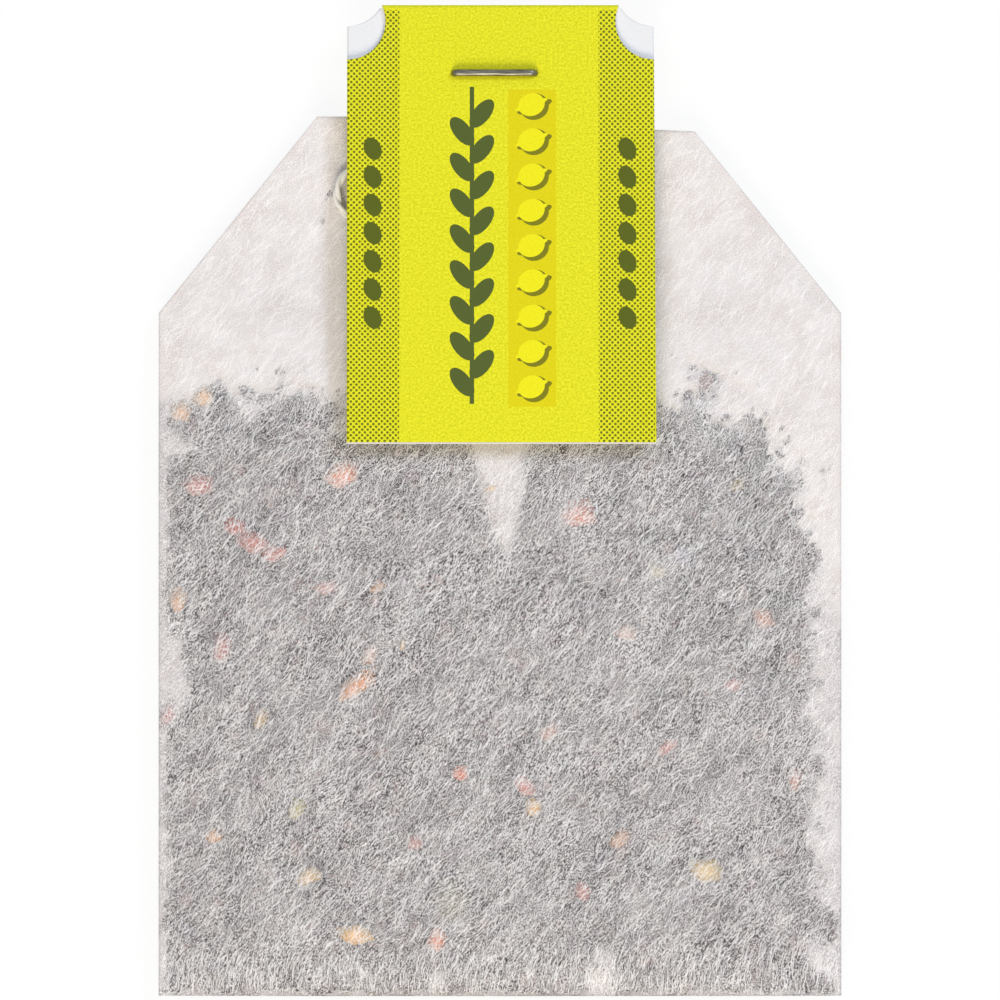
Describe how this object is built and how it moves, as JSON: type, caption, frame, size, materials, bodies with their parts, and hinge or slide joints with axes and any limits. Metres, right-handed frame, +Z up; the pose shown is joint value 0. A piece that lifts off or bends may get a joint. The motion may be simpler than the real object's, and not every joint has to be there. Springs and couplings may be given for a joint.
{
  "type": "tea bag",
  "caption": "Folded double-chamber tea bag of filter paper with a stapled head, a cotton thread and a folded two-leaf card tag, lying on its back.",
  "frame": {"origin": "on the ground under the middle of the whole, halfway from the bag's bottom fold to the tag's fold", "axes": "+X across the bag, to its right as its shown face is looked at with the tag at the top; +Y from the bottom fold to the head and the tag's fold; +Z up out of the shown face"},
  "size_m": [0.05, 0.0726, 0.0055],
  "materials": {
    "filter_paper": "thin translucent non-woven filter paper over cut green tea leaf and bits of peel",
    "tag_card": "uncoated thin card, printed yellow-green on its front leaf, white inside",
    "staple_wire": "galvanised staple wire",
    "cotton_thread": "undyed twisted cotton thread"
  },
  "bodies": {
    "root": {"bag": "filter_paper", "tag": "tag_card", "tag_staple": "staple_wire", "bag_staple": "staple_wire", "thread": "cotton_thread"}
  },
  "joints": []
}
